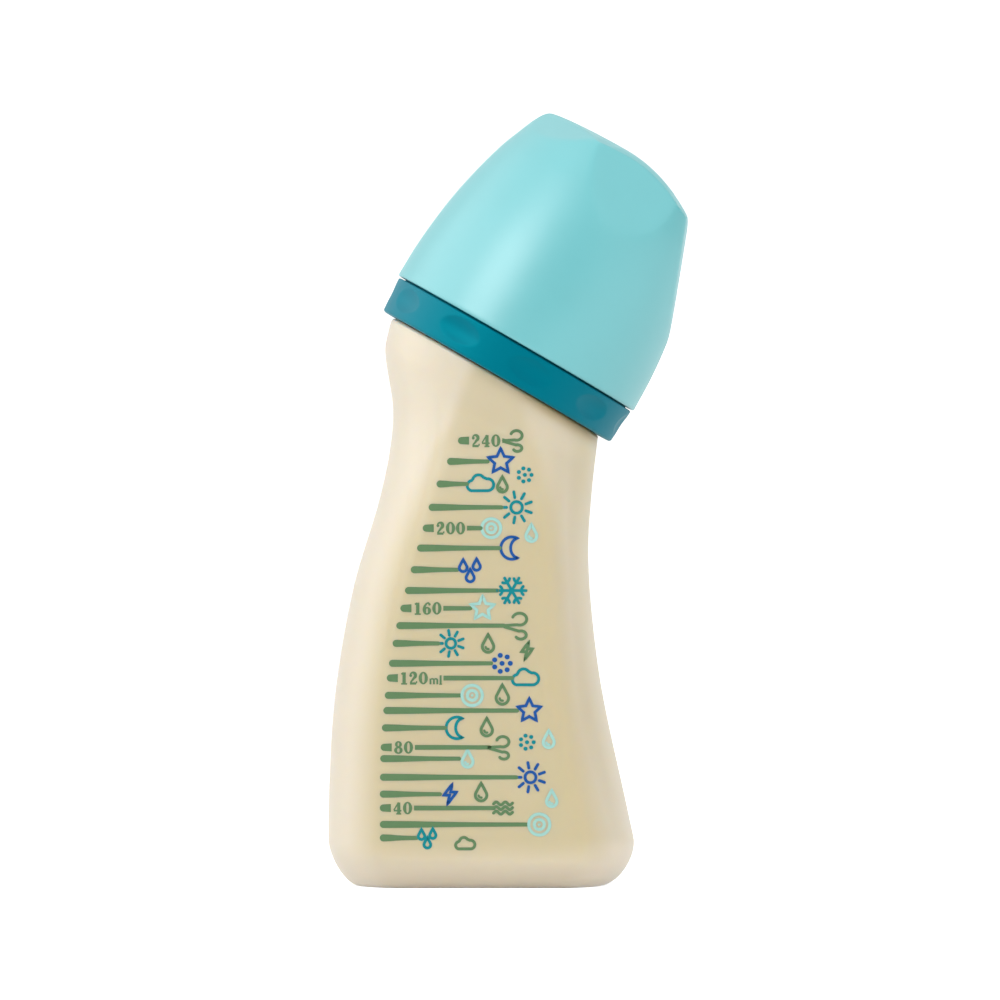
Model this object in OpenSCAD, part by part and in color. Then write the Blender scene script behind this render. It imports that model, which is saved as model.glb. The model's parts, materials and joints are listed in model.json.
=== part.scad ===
// Wide-neck baby bottle. A hollow body with one curved and one bowed side leans up to a
// tilted, threaded neck. A screw ring holds the teat on the neck's lip, and a hood with a
// five-sided crown pushes over the ring.
// Millimetres, +Z up, standing on z = 0, with the origin in the middle of the foot.
// The front is -Y. The neck leans towards +X.

/* [Bottle body] */
// Reach of the back side at the foot, before its corner is rounded
foot_left = 35.2; // [33:0.2:38]
// Reach of the leaning side at the foot, before its corner is rounded
foot_right = 38.2; // [36:0.2:41]
// Depth from the flat front panel to the flat back panel
body_depth = 51.6; // [48:0.2:54]
// Wall of the body
body_wall = 1.5; // [1.1:0.1:2]
// Thickness of the floor
floor_t = 2; // [1.4:0.1:3]
// Rise of the middle of the floor above the standing edge
push_up_h = 2.4; // [1:0.2:3.6]
// How far the back side's waist bows in
left_bow = 3.45; // [0:0.05:4.5]
// How far the leaning side bows in
right_bow = 5.6; // [0:0.1:7]
// Width of the rounded foot corner on the back side
left_corner_w = 6.6; // [4:0.1:8]
// Height of the rounded foot corner on the back side
left_corner_h = 10.5; // [7:0.5:14]
// Width of the rounded foot corner on the leaning side
right_corner_w = 9.8; // [6:0.1:11]
// Height of the rounded foot corner on the leaning side
right_corner_h = 11; // [7:0.5:14]
// Depth of the rounded foot edge on the front and the back
front_corner_w = 6; // [4:0.1:8]
// Height of the rounded foot edge on the front and the back
front_corner_h = 7; // [5:0.5:11]

/* [Neck] */
// Lean of the neck from upright, in degrees
neck_tilt = 30; // [22:1:34]
// Middle of the shoulder, sideways from the middle of the foot
shoulder_x = 3.8; // [1:0.1:7]
// Height of the middle of the shoulder
shoulder_z = 118.5; // [108:0.5:130]
// How far the round shoulder reaches out past the neck's wall
shoulder_step = 2.3; // [1.7:0.05:2.8]
// Rounding of the shoulder's edge
shoulder_round = 0.8; // [0.4:0.1:1.2]
// Radius of the mouth's bore
mouth_r = 23.8; // [23:0.1:24.2]
// Wall of the neck
neck_wall = 1.6; // [1.2:0.1:1.9]
// Height of the neck above the shoulder
neck_h = 14.2; // [13:0.1:18]

/* [Thread] */
// Rise of the thread in one turn
thread_pitch = 6; // [5:0.1:6.6]
// Turns of thread on the neck
neck_turns = 1.25; // [1:0.05:1.35]
// Turns of thread in the ring
ring_turns = 1; // [0.7:0.05:1.1]
// Height of the thread's ridge
thread_h = 1.5; // [1.1:0.1:1.7]
// Width of the ridge at its root
ridge_root_w = 2.4; // [1.8:0.1:2.6]
// Width of the ridge at its crest
ridge_crest_w = 1.2; // [0.8:0.1:1.6]
// Height of the neck thread's lower end above the shoulder
thread_start = 3.2; // [2.6:0.1:4]
// Radial clearance between a crest and the wall that it faces
crest_gap = 0.4; // [0.3:0.05:0.6]
// Clearance between the two ridges' flanks
flank_gap = 0.35; // [0.3:0.05:0.6]

/* [Screw ring] */
// Wall of the ring's grip at its upper edge
ring_wall = 3.85; // [3.3:0.05:4.7]
// How much the ring narrows towards its foot
ring_taper = 0.55; // [0:0.05:0.9]
// Height of the grip, from the ring's foot to the hood's ledge
grip_h = 8.4; // [7.6:0.1:10]
// Rounding of the ring's foot
grip_round = 0.7; // [0.4:0.1:1.6]
// Gap between the bottle's shoulder and the ring's foot
ring_foot_gap = 0.3; // [0.3:0.1:0.8]
// How far the ledge under the hood stands out past the seat inside it
seat_step = 1.6; // [1.5:0.05:1.8]
// How far the snap bead stands out of the seat
snap_bead = 0.2; // [0.1:0.05:0.3]
// Height of the snap bead above the ledge
snap_rise = 3.5; // [2.5:0.1:4]
// Thickness of the ring's top
ring_top_t = 1.6; // [1.2:0.1:2.2]
// Rounding of the ring's top edge
ring_top_round = 2; // [1:0.1:2.4]
// How far the ring's top reaches in past the mouth's bore, over the teat
ring_reach = 2.6; // [1.8:0.1:3.4]
// Chamfer of the sharp edges on the ring, the teat and the hood
edge_break = 0.4; // [0.2:0.1:0.5]
// Number of thumb dimples
dimple_count = 10; // [8:1:11]
// Width of a dimple round the ring
dimple_w = 11; // [9:0.5:13]
// Height of a dimple
dimple_h = 5.6; // [4.6:0.1:6]
// Depth of a dimple
dimple_depth = 0.8; // [0.75:0.05:1]
// Direction of the first dimple, in degrees from the leaning side
dimple_from = -78; // [-90:1:-54]

/* [Teat] */
// How far the sealing flange reaches out past the neck's wall
teat_flange_over = 0.4; // [0.1:0.1:0.9]
// Thickness of the sealing flange
teat_flange_t = 1.8; // [1.4:0.1:2.4]
// How far the bead stands out over the ring's hole
teat_bead = 1; // [0.7:0.1:1.3]
// Height of the bead over the ring's top
teat_bead_h = 2; // [1.6:0.1:2.6]
// Wall of the teat
teat_wall = 1.5; // [1:0.1:1.8]
// Radius of the nipple
nipple_r = 6.2; // [5.4:0.1:7]
// Height of the dome, from its foot to the nipple
dome_h = 18; // [14:0.5:19]
// Height of the nipple above the dome
nipple_h = 15; // [12:0.5:16]
// Radius of the feed hole
feed_r = 0.4; // [0.3:0.05:0.8]
// Radius of the vent through the flange
vent_r = 0.5; // [0.3:0.05:0.7]
// Gap between the teat and what holds it
teat_gap = 0.3; // [0.2:0.05:0.4]

/* [Hood] */
// Gap between the ring's seat and the inside of the hood's skirt
hood_fit = 0.7; // [0.6:0.05:1.2]
// Wall of the hood
hood_wall = 1.4; // [1:0.05:1.5]
// Room between the teat's tip and the inside of the hood's crown
tip_room = 6.1; // [3:0.1:9]
// Gap between the ring's ledge and the hood's foot
hood_foot_gap = 0.8; // [0.4:0.1:1.2]
// Distance from the neck's axis at which the crown's falls are given
crown_r = 20; // [16:0.5:24]
// How far the crown falls from its middle to the leaning side
crown_fall_lean = 6.3; // [2:0.1:8]
// How far the crown falls from its middle to the back side
crown_fall_back = 1.2; // [0.5:0.1:6]
// How far the crown falls from its middle to the front
crown_fall_front = 1.8; // [0.5:0.1:6]
// Number of flat facets cut into the hood's top
facet_count = 5; // [3:1:8]
// Distance of the facets from the point on the axis that they stand round
facet_reach = 22.7; // [22:0.1:27]
// Height of that point over the hood's foot
facet_mid_h = 34.4; // [28:0.1:38]
// Slope of a facet on the leaning side, in degrees from upright
facet_slope_lean = 20.9; // [10:0.1:40]
// Slope of a facet on the back side, in degrees from upright
facet_slope_back = 52.7; // [40:0.1:65]
// Direction of the first ridge between facets, in degrees from the leaning side
ridge_from = 34; // [0:1:71]

/* [Hidden] */
$fn = 64;

// Smallest overlap that joins two solids, and how far a cut runs past a face
eps = 0.5;

// ---- radii, from the mouth outwards ----
neck_r = mouth_r + neck_wall;
shoulder_r = neck_r + shoulder_step;
ring_bore_r = neck_r + thread_h + crest_gap;
ring_r = ring_bore_r + ring_wall;
seat_r = ring_r - seat_step;
hood_r = seat_r + hood_fit + hood_wall;
ring_hole_r = mouth_r - ring_reach;
teat_flange_r = neck_r + teat_flange_over;

// ---- heights above the shoulder, along the neck ----
ring_foot = ring_foot_gap;
ledge = ring_foot + grip_h;
hood_foot = ledge + hood_foot_gap;
teat_foot = neck_h + teat_gap;
ring_under = teat_foot + teat_flange_t + teat_gap;
ring_top = ring_under + ring_top_t;
dome_foot = ring_top + teat_gap + teat_bead_h;
teat_tip = dome_foot + dome_h + nipple_h;
hood_h = teat_tip + tip_room + hood_wall - hood_foot;

// ---- outline of the body, seen from the front ----
function neck_point(r, h) = [
    shoulder_x + r * cos(neck_tilt) + h * sin(neck_tilt), 0,
    shoulder_z - r * sin(neck_tilt) + h * cos(neck_tilt)
];
left_top = neck_point(-shoulder_r, -shoulder_round);
right_top = neck_point(shoulder_r, -shoulder_round);

// Each side's bow: [share of its height, share of its bow off the straight line between its ends]
LEFT_BOW = [[0, 0], [0.15, -0.64], [0.34, -1], [0.53, -0.55], [0.7, 0.62], [0.83, 0.83],
            [0.945, -0.195], [0.984, -0.115], [1, 0]];
RIGHT_BOW = [[0, 0], [0.19, -0.4], [0.43, -0.9], [0.6, -1], [0.75, -0.875], [0.88, -0.48], [1, 0]];
// Width of the flat panels: [share of the height, share of the body's width]
PANEL = [[0, 0.67], [0.52, 0.63], [0.68, 0.59], [0.8, 0.49], [0.9, 0.34], [0.97, 0.2], [1, 0.2]];
// The panels' edges are blended with this exponent; a higher one is crisper
PANEL_EDGE = 20;
// The foot's corners are softer than an ellipse, whose exponent is 2
CORNER_SOFT = 1.55;
// Share of the height where the flat panels start to run out into the round shoulder
PANEL_END = 0.9;
// How far the panels give way there, as a share of the shoulder's radius
PANEL_ROOM = 0.25;

// The floor's push-up: [share of the foot's size, share of the rise]
FLOOR_RISE = [[0.35, 0.96], [0.65, 0.75], [0.8, 0.3], [0.86, 0]];
// The inner floor's push-up is wider than the outer one by this share
WELL_WIDER = 0.02;

BODY_SIDES = 52;
FOOT_SHARES = [0, 0.004, 0.012, 0.026, 0.046, 0.072, 0.11];
RISE_ROWS = 19;
RISE_SHARES = [for (i = [1:RISE_ROWS]) mix(FOOT_SHARES[len(FOOT_SHARES) - 1], 1, i / RISE_ROWS)];
// Rows of the inner skin: they lie closer together near the floor and end under the shoulder
INNER_ROWS = 18;
INNER_CLOSER = 1.35;
INNER_END = 0.975;

function mix(a, b, t) = a + (b - a) * t;
function ease(t) = let (c = max(0, min(1, t))) c * c * (3 - 2 * c);

// A smooth curve through stations [position, value], read at position t
function slope(s, i) = let (a = max(0, i - 1), b = min(len(s) - 1, i + 1))
    (s[b][1] - s[a][1]) / (s[b][0] - s[a][0]);
function along(s, t) = let (
        i = max([for (k = [0:len(s) - 2]) s[k][0] <= t ? k : 0]),
        span = s[i + 1][0] - s[i][0],
        u = (t - s[i][0]) / span)
    (1 + 2 * u) * pow(1 - u, 2) * s[i][1] + u * pow(1 - u, 2) * span * slope(s, i)
    + u * u * (3 - 2 * u) * s[i + 1][1] + u * u * (u - 1) * span * slope(s, i + 1);

// How far a rounded corner w wide and h high stands in at height z
function corner_in(w, h, z) = z >= h ? 0 :
    w * (1 - pow(1 - pow((h - max(0, z)) / h, CORNER_SOFT), 1 / CORNER_SOFT));

// One ring of the body's skin at share t of its height, d inside the outer face
function body_ring(t, d) = let (
        lift = d > 0 ? floor_t : 0,
        zl = t * left_top.z,
        zr = t * right_top.z,
        zm = (zl + zr) / 2,
        xl = mix(-foot_left, left_top.x, t) + left_bow * along(LEFT_BOW, t) + d
            + corner_in(left_corner_w, left_corner_h - lift, zl - lift),
        xr = mix(foot_right, right_top.x, t) + right_bow * along(RIGHT_BOW, t) - d
            - corner_in(right_corner_w, right_corner_h - lift, zr - lift),
        half = norm([xr - xl, zr - zl]) / 2,
        run = [xr - xl, 0, zr - zl] / (2 * half),
        in = d + corner_in(front_corner_w, front_corner_h - lift, zm - lift),
        round_out = ease((t - PANEL_END) / (1 - PANEL_END)),
        bulge = mix(body_depth / 2 / sqrt(1 - pow(along(PANEL, t), 2)) - in, half, round_out),
        flat_y = body_depth / 2 - in + shoulder_r * PANEL_ROOM * round_out)
    [for (k = [0:BODY_SIDES - 1]) let (
            a = 360 * k / BODY_SIDES,
            y = bulge * sin(a),
            cut = pow(1 + pow(abs(y) / flat_y, PANEL_EDGE), -1 / PANEL_EDGE))
        [(xl + xr) / 2, 0, zm] + run * half * cos(a) + [0, y * cut, 0]];

// A ring drawn in to share k of its size and moved to height z
function drawn_in(ring, k, z) = let (mid = (foot_right - foot_left) / 2)
    [for (p = ring) [mid + (p.x - mid) * k, p.y * k, z]];

// A level ring of radius r at height h on the neck
function neck_ring(r, h) = [for (k = [0:BODY_SIDES - 1]) let (a = 360 * k / BODY_SIDES)
    neck_point(r * cos(a), h) + [0, r * sin(a), 0]];

// A closed skin through rings of the same length, capped by a fan at each end
module skin(rings, first, last) {
    n = len(rings[0]);
    count = len(rings);
    points = concat([for (ring = rings) each ring], [first, last]);
    sides = [for (i = [0:count - 2], k = [0:n - 1]) let (
            a = i * n + k, b = i * n + (k + 1) % n)
        each [[a, b, b + n], [a, b + n, a + n]]];
    caps = [for (k = [0:n - 1]) let (m = (k + 1) % n, top = (count - 1) * n)
        each [[m, k, count * n], [top + k, top + m, count * n + 1]]];
    polyhedron(points, concat(sides, caps), convexity = 8);
}

// A thread ridge's rows stand this many degrees apart, and its ends fade over the second number
RIDGE_STEP = 9;
RIDGE_FADE = 36;
// What is left of its height at the very ends
RIDGE_END = 0.45;

// A thread ridge: it climbs from angle a0 to angle a1 and fades in and out at its ends
module ridge(root_r, crest_r, a0, a1, h0) {
    steps = ceil((a1 - a0) / RIDGE_STEP);
    rows = [for (i = [0:steps]) let (
            a = mix(a0, a1, i / steps),
            full = ease(min(a - a0, a1 - a) / RIDGE_FADE),
            r = mix(root_r, crest_r, mix(RIDGE_END, 1, full)),
            h = h0 + thread_pitch * a / 360,
            crest = mix(ridge_crest_w / 3, ridge_crest_w / 2, full),
            root = mix(ridge_root_w / 4, ridge_root_w / 2, full))
        [for (p = [[root_r, -root], [r, -crest], [r, crest], [root_r, root]])
            [p[0] * cos(a), p[0] * sin(a), h + p[1]]]];
    points = [for (row = rows) each row];
    sides = [for (i = [0:steps - 1], k = [0:3]) let (
            a = i * 4 + k, b = i * 4 + (k + 1) % 4)
        each [[a, a + 4, b], [b, a + 4, b + 4]]];
    ends = [[0, 1, 2], [0, 2, 3], [steps * 4, steps * 4 + 2, steps * 4 + 1],
            [steps * 4, steps * 4 + 3, steps * 4 + 2]];
    faces = concat(sides, ends);
    polyhedron(points, crest_r < root_r ? faces : [for (f = faces) [f[2], f[1], f[0]]], convexity = 6);
}

module on_neck() {
    translate([shoulder_x, 0, shoulder_z]) rotate([0, neck_tilt, 0]) children();
}

module body_shell() {
    outer = [for (t = concat(FOOT_SHARES, RISE_SHARES)) body_ring(t, 0)];
    inner_foot = 2 * floor_t / (left_top.z + right_top.z);
    inner = [for (i = [0:INNER_ROWS])
        body_ring(mix(inner_foot, INNER_END, pow(i / INNER_ROWS, INNER_CLOSER)), body_wall)];
    foot = outer[0];
    well = inner[0];
    mouth_edge = mouth_r - eps;
    middle = [(foot_right - foot_left) / 2, 0, 0];
    skin(concat(
            [for (s = FLOOR_RISE) drawn_in(well, s[0] + WELL_WIDER, floor_t + push_up_h * s[1])],
            inner,
            [neck_ring(shoulder_r - body_wall - shoulder_round, -neck_wall),
             neck_ring(mouth_edge, -neck_wall),
             neck_ring(mouth_edge, 0),
             neck_ring(shoulder_r - shoulder_round, 0),
             neck_ring(shoulder_r - shoulder_round / 3, -shoulder_round / 3)],
            [for (i = [len(outer) - 1:-1:0]) outer[i]],
            [for (i = [len(FLOOR_RISE) - 1:-1:0])
                drawn_in(foot, FLOOR_RISE[i][0], push_up_h * FLOOR_RISE[i][1])]),
        middle + [0, 0, floor_t + push_up_h], middle + [0, 0, push_up_h]);
}

module bottle() {
    lip = neck_wall / 3;
    color("#e3d8bd")
    difference() {
        union() {
            body_shell();
            on_neck() {
                translate([0, 0, -neck_wall / 2]) cylinder(r = neck_r, h = neck_h - lip + neck_wall / 2);
                rotate_extrude() polygon([
                    [mouth_r - eps, neck_h - lip - eps], [neck_r, neck_h - lip - eps],
                    [neck_r, neck_h - lip], for (a = [15:15:90])
                        [neck_r - lip + lip * cos(a), neck_h - lip + lip * sin(a)],
                    [mouth_r - eps, neck_h]]);
                ridge(neck_r - eps, neck_r + thread_h, 0, 360 * neck_turns, thread_start);
            }
        }
        on_neck() translate([0, 0, -neck_wall - 2 * eps])
            cylinder(r = mouth_r, h = neck_h + neck_wall + 4 * eps);
    }
}

// The ring's cross-section, on the right of its axis
module ring_section() {
    foot_r = ring_r - ring_taper;
    round_at = [foot_r - grip_round, ring_foot + grip_round];
    top_at = [seat_r - ring_top_round, ring_top - ring_top_round];
    bead_h = 3 * snap_bead;
    bead_at = ledge + snap_rise;
    polygon(concat(
        [[ring_bore_r, ring_foot]],
        [for (a = [-90:15:0]) round_at + grip_round * [cos(a), sin(a)]],
        [[ring_r, ledge - edge_break], [ring_r - edge_break, ledge], [seat_r, ledge],
         [seat_r, bead_at - bead_h], [seat_r + snap_bead, bead_at - bead_h / 3],
         [seat_r + snap_bead, bead_at + bead_h / 3], [seat_r, bead_at + bead_h]],
        [for (a = [0:15:90]) top_at + ring_top_round * [cos(a), sin(a)]],
        [[ring_hole_r + edge_break, ring_top], [ring_hole_r, ring_top - edge_break],
         [ring_hole_r, ring_under], [ring_bore_r, ring_under]]));
}

// Share of the grip's height where the dimples' middles are
DIMPLE_AT = 0.54;

// A dimple is where the rim of a large round cutter dips into the ring
module dimples() {
    at_r = ring_r - ring_taper / 2;
    sweep_r = 1 / (8 * dimple_depth / pow(dimple_w, 2) - 1 / at_r);
    rim_r = pow(dimple_h, 2) / (8 * dimple_depth);
    for (k = [0:dimple_count - 1])
        rotate([0, 0, dimple_from + 360 * k / dimple_count])
            translate([at_r + sweep_r - dimple_depth, 0, ring_foot + grip_h * DIMPLE_AT])
                rotate_extrude() translate([sweep_r - rim_r, 0]) circle(r = rim_r);
}

module screw_ring() {
    drop = flank_gap + (ridge_root_w + ridge_crest_w) / 2;
    lowest = ring_foot + ridge_root_w / 2 + eps;
    start_turn = (lowest - thread_start + drop) / thread_pitch;
    color("#00857f")
    on_neck() {
        difference() {
            rotate_extrude() ring_section();
            dimples();
        }
        ridge(ring_bore_r + eps, ring_bore_r - thread_h, 360 * start_turn,
            360 * (start_turn + ring_turns), thread_start - drop);
    }
}

// Radius of the teat's dome and nipple: [share of the rise, share from nipple to dome foot]
DOME = [[0, 1], [0.2, 0.93], [0.45, 0.7], [0.7, 0.36], [0.88, 0.12], [1, 0.04]];

// The teat's outline above the ring, d inside its outer face
function teat_side(d) = let (
        dome_r = ring_hole_r + teat_bead / 3,
        stem = dome_foot + dome_h,
        ball = teat_tip - nipple_r)
    concat(
        [for (i = [0:14]) let (t = i / 14)
            [mix(nipple_r, dome_r, along(DOME, t)) - d, dome_foot + dome_h * t]],
        [[nipple_r - d, mix(stem, ball, 0.5)]],
        [for (a = [0:15:75]) [(nipple_r - d) * cos(a), ball + (nipple_r - d) * sin(a)]],
        [[0, ball + nipple_r - d]]);

module teat() {
    groove_r = ring_hole_r - teat_gap;
    bead_r = ring_hole_r + teat_bead;
    bead_foot = ring_top + teat_gap;
    inside = teat_side(teat_wall);
    color("#f1efe8")
    on_neck() difference() {
        rotate_extrude() polygon(concat(
            [[groove_r - teat_wall, teat_foot], [teat_flange_r - edge_break, teat_foot],
             [teat_flange_r, teat_foot + edge_break],
             [teat_flange_r, teat_foot + teat_flange_t - edge_break],
             [teat_flange_r - edge_break, teat_foot + teat_flange_t],
             [groove_r, teat_foot + teat_flange_t],
             [groove_r, bead_foot], [bead_r - edge_break, bead_foot],
             [bead_r, bead_foot + teat_bead_h / 4],
             [bead_r, dome_foot - teat_bead_h / 2]],
            teat_side(0),
            [for (i = [len(inside) - 1:-1:0]) inside[i]],
            [[groove_r - teat_wall, bead_foot]]));
        translate([0, 0, dome_foot + dome_h]) cylinder(r = feed_r, h = nipple_h + eps);
        translate([(mouth_r + groove_r) / 2, 0, teat_foot - eps])
            cylinder(r = vent_r, h = teat_flange_t + 2 * eps);
    }
}

HOOD_SIDES = 60;
// The hood's round side: [share of its height, share of its radius]
HOOD_SIDE = [[0, 1], [0.153, 0.994], [0.289, 0.975], [0.431, 0.943], [0.581, 0.891], [0.736, 0.82],
             [0.837, 0.756], [0.901, 0.712], [0.957, 0.664], [1.05, 0.57]];
// The hood's top is drawn along rays that rise from its axis at this share of its height
EYE = 0.2;
// Elevations of the rays, closest together where the facets meet the crown
RAYS = [84, 78, 72, 67, 64, 62, 60, 58, 55, 51, 46, 41, 36, 30, 24, 18, 12, 6, 0];
INNER_RAYS = [0, 10, 20, 30, 40, 48, 54, 60, 66, 74, 82];
// Exponent that blends the side, the facets and the crown; a higher one is crisper
HOOD_CRISP = 90;
// A ray that runs away from a facet meets it this many times too far out to matter
FAR = 100;

// Length of a ray in direction a, at elevation e, to the round side, d inside it
function side_ray(e, d, low = 0, high = 2, n = 16) = let (
        s = (low + high) / 2 * hood_r,
        out = s * cos(e) > hood_r * along(HOOD_SIDE, EYE + s * sin(e) / hood_h) - d)
    n == 0 ? s : side_ray(e, d, out ? low : (low + high) / 2, out ? (low + high) / 2 : high, n - 1);

// Length of the same ray to facet f
function facet_ray(a, e, d, f) = let (
        at = ridge_from + 360 * (f + 0.5) / facet_count,
        rise = mix(sin(facet_slope_lean), sin(facet_slope_back), (1 - cos(at)) / 2),
        away = facet_reach - d + (facet_mid_h - EYE * hood_h) * rise,
        towards = sqrt(1 - rise * rise) * cos(e) * cos(a - at) + rise * sin(e))
    towards * FAR < 1 ? FAR * away : away / towards;

// Length of the same ray to the crown
function crown_ray(a, e, d) = let (
        fall = mix(crown_fall_back, crown_fall_lean, cos(a) > 0 ? 1 : 0) * pow(cos(a), 2)
            + crown_fall_front * pow(sin(a), 2),
        bend = max(fall * pow(cos(e) / crown_r, 2), pow(eps / crown_r, 4)),
        under = hood_h * (1 - EYE) - d)
    (sqrt(pow(sin(e), 2) + 4 * bend * under) - sin(e)) / (2 * bend);

// A ring of the hood's top at elevation e, d inside its outer face
function hood_ring(e, d) = let (side = side_ray(e, d))
    [for (k = [0:HOOD_SIDES - 1]) let (
            a = 360 * k / HOOD_SIDES,
            flats = [for (f = [0:facet_count - 1]) facet_ray(a, e, d, f)],
            rays = concat([side, crown_ray(a, e, d)], flats),
            near = min(rays),
            s = near * pow(sum([for (r = rays) pow(near / r, HOOD_CRISP)]), -1 / HOOD_CRISP))
        [s * cos(e) * cos(a), s * cos(e) * sin(a), hood_foot + EYE * hood_h + s * sin(e)]];

function sum(list, n = 0) = n == len(list) ? 0 : list[n] + sum(list, n + 1);

// A level ring of the hood's skirt at share t of its height
function skirt_ring(t, d) = [for (k = [0:HOOD_SIDES - 1]) let (
        a = 360 * k / HOOD_SIDES, r = hood_r * along(HOOD_SIDE, t) - d)
    [r * cos(a), r * sin(a), hood_foot + hood_h * t]];

module hood() {
    middle = hood_foot + hood_h;
    lift = edge_break / hood_h;
    color("#a9e0e1")
    on_neck() skin(concat(
            [for (e = RAYS) hood_ring(e, 0)],
            [skirt_ring(EYE / 2, 0), skirt_ring(lift, 0)],
            [skirt_ring(0, edge_break), skirt_ring(0, hood_wall)],
            [skirt_ring(EYE / 2, hood_wall)],
            [for (e = INNER_RAYS) hood_ring(e, hood_wall)]),
        [0, 0, middle], [0, 0, middle - hood_wall]);
}

bottle();
screw_ring();
teat();
hood();
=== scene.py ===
"""Dresses the baby bottle's frame: the milky body with its printed scale, the screw ring,
the teat and the hood, on a pale floor in soft light."""

import json
import math

import bmesh
import bpy
import numpy as np
from bpy.props import FloatProperty, FloatVectorProperty, IntProperty, PointerProperty
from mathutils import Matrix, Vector


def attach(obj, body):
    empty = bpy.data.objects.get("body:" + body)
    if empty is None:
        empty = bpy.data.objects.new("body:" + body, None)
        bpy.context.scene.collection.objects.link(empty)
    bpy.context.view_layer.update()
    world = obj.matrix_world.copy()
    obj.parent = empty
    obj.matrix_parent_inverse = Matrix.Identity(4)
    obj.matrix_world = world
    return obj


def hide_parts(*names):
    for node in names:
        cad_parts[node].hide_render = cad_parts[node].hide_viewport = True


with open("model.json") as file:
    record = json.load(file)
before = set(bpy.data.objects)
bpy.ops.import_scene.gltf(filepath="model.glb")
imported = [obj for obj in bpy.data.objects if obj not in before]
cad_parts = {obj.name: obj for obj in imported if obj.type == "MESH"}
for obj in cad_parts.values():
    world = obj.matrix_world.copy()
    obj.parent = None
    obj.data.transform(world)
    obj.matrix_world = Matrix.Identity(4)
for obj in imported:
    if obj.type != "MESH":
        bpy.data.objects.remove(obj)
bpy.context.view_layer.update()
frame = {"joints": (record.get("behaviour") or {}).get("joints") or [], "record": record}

bl_info = {
    "name": "Baby Bottle",
    "version": (1, 0, 0),
    "blender": (4, 5, 0),
    "location": "View3D > Sidebar > Bottle",
    "description": "Makes a curved baby bottle with a printed scale, a screw ring, a teat and a hood",
    "category": "Add Mesh",
}

MM = 0.001

# The neck's axis, the middle of the shoulder, and the screw's rise in one turn, from the frame
TURN = next(j for j in frame["joints"] if j["name"] == "ring_turn")
NECK_AXIS = np.array(TURN["axis"]) / np.linalg.norm(TURN["axis"])
SHOULDER = np.array(TURN["pos_m"])
# Across the neck, down towards the leaning side
NECK_SIDE = np.array([NECK_AXIS[2], 0.0, -NECK_AXIS[0]])
SCREW_RISE = frame["record"]["behaviour"]["couplings"][0]["ratio"] * 2 * math.pi
# How deep a thread's ridge is sunk into the wall that carries it
RIDGE_SUNK = 0.5 * MM


# ---- Curves ----


def mix(a, b, t):
    return a + (b - a) * t


def ramp(value, start, end):
    """0 up to start, 1 from end on, and smooth between them."""
    t = np.clip((value - start) / (end - start), 0.0, 1.0)
    return t * t * (3 - 2 * t)


def along(stations, t):
    """A smooth curve through stations (position, value), read at t."""
    s = np.array(stations, float)
    n = len(s)
    before, after = np.maximum(np.arange(n) - 1, 0), np.minimum(np.arange(n) + 1, n - 1)
    slopes = (s[after, 1] - s[before, 1]) / (s[after, 0] - s[before, 0])
    i = np.clip(np.searchsorted(s[:, 0], t, side="right") - 1, 0, n - 2)
    span = s[i + 1, 0] - s[i, 0]
    u = (t - s[i, 0]) / span
    return (
        (1 + 2 * u) * (1 - u) ** 2 * s[i, 1] + u * (1 - u) ** 2 * span * slopes[i]
        + u * u * (3 - 2 * u) * s[i + 1, 1] + u * u * (u - 1) * span * slopes[i + 1]
    )


def circle_angles(count):
    return np.arange(count) * 2 * math.pi / count


def around(angles):
    """Points on a circle of radius 1."""
    return np.stack([np.cos(angles), np.sin(angles)], axis=-1)


def arc(centre, radius, start, end, steps):
    """Points on an arc in degrees, both ends included; the radius may be a pair."""
    return np.asarray(centre) + np.asarray(radius) * around(np.radians(np.linspace(start, end, steps)))


def dense(points, step):
    """The same open line with more points on its long stretches."""
    points = np.asarray(points, float)
    rows = [points[:1]]
    for a, b in zip(points[:-1], points[1:]):
        count = max(1, math.ceil(np.linalg.norm(b - a) / step))
        rows.append(mix(a, b, np.arange(1, count + 1)[:, None] / count))
    return np.vstack(rows)


# ---- Meshes ----


def on_neck(across, back, up):
    """Points given across the neck, to the back and up it."""
    a, b, u = (np.asarray(v)[..., None] for v in np.broadcast_arrays(across, back, up))
    return SHOULDER + a * NECK_SIDE + b * np.array([0.0, 1.0, 0.0]) + u * NECK_AXIS


def neck_ring(radius, up, angles):
    """One ring round the neck; its radius and height may vary with the angle."""
    return on_neck(radius * np.cos(angles), radius * np.sin(angles), up)


def skin(rings, ends=None):
    """A skin through equal rings: joined end to end, or closed by flat ends or two middle points."""
    rings = np.asarray(rings)
    rows, n = rings.shape[:2]
    k = np.arange(n)
    after = (k + 1) % n
    i = np.arange(rows if ends is None else rows - 1)[:, None]
    j = (i + 1) % rows
    quads = np.stack([i * n + k, i * n + after, j * n + after, j * n + k], axis=-1)
    points, faces, last = rings.reshape(-1, 3), quads.reshape(-1, 4).tolist(), (rows - 1) * n
    if ends == "flat":
        faces += [k[::-1].tolist(), (last + k).tolist()]
    elif ends is not None:
        points = np.vstack([points, *ends])
        faces += [(b, a, rows * n) for a, b in zip(k.tolist(), after.tolist())]
        faces += [(last + a, last + b, rows * n + 1) for a, b in zip(k.tolist(), after.tolist())]
    return points, faces


def joined(parts):
    """Several (points, faces) as one."""
    starts = np.cumsum([0] + [len(points) for points, _ in parts]).tolist()
    faces = [[start + i for i in face] for start, (_, part) in zip(starts, parts) for face in part]
    return np.vstack([points for points, _ in parts]), faces


def put(name, data):
    """Puts new data into the scene as an object of the same name."""
    thing = bpy.data.objects.new(name, data)
    bpy.context.scene.collection.objects.link(thing)
    return thing


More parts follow.
